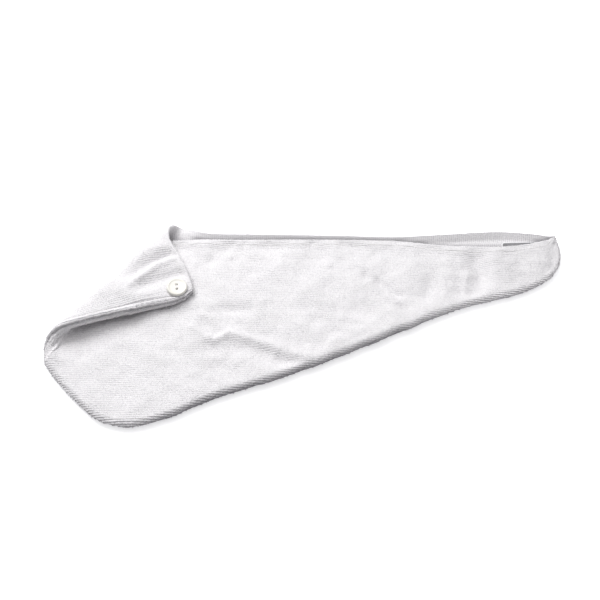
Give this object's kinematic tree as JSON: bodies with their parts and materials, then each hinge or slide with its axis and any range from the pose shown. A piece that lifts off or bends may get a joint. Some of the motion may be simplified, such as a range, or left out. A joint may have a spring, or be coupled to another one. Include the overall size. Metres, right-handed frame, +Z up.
{
  "type": "hair turban towel",
  "caption": "Terry hair turban towel lying flat, two panels sewn round a curved belly and open along the mouth, with its nape corner folded over to show the button",
  "frame": {"origin": "the middle of the towel's footprint on the surface that it lies on", "axes": "+X runs along the open mouth edge from the nape to the tail tip, +Y across the towel from the sewn belly edge to the mouth, +Z up from the back panel that it lies on"},
  "size_m": [0.6454, 0.2934, 0.0349],
  "materials": {
    "terry": "soft white terry with its pile in close rows along the length",
    "button": "ivory white, softly polished, with a raised rim",
    "thread": "white sewing thread",
    "elastic": "white woven elastic tape"
  },
  "bodies": {
    "root": {"front_panel": "terry", "back_panel": "terry", "button": "button", "button_thread": "thread", "tail_loop": "elastic"}
  },
  "joints": []
}
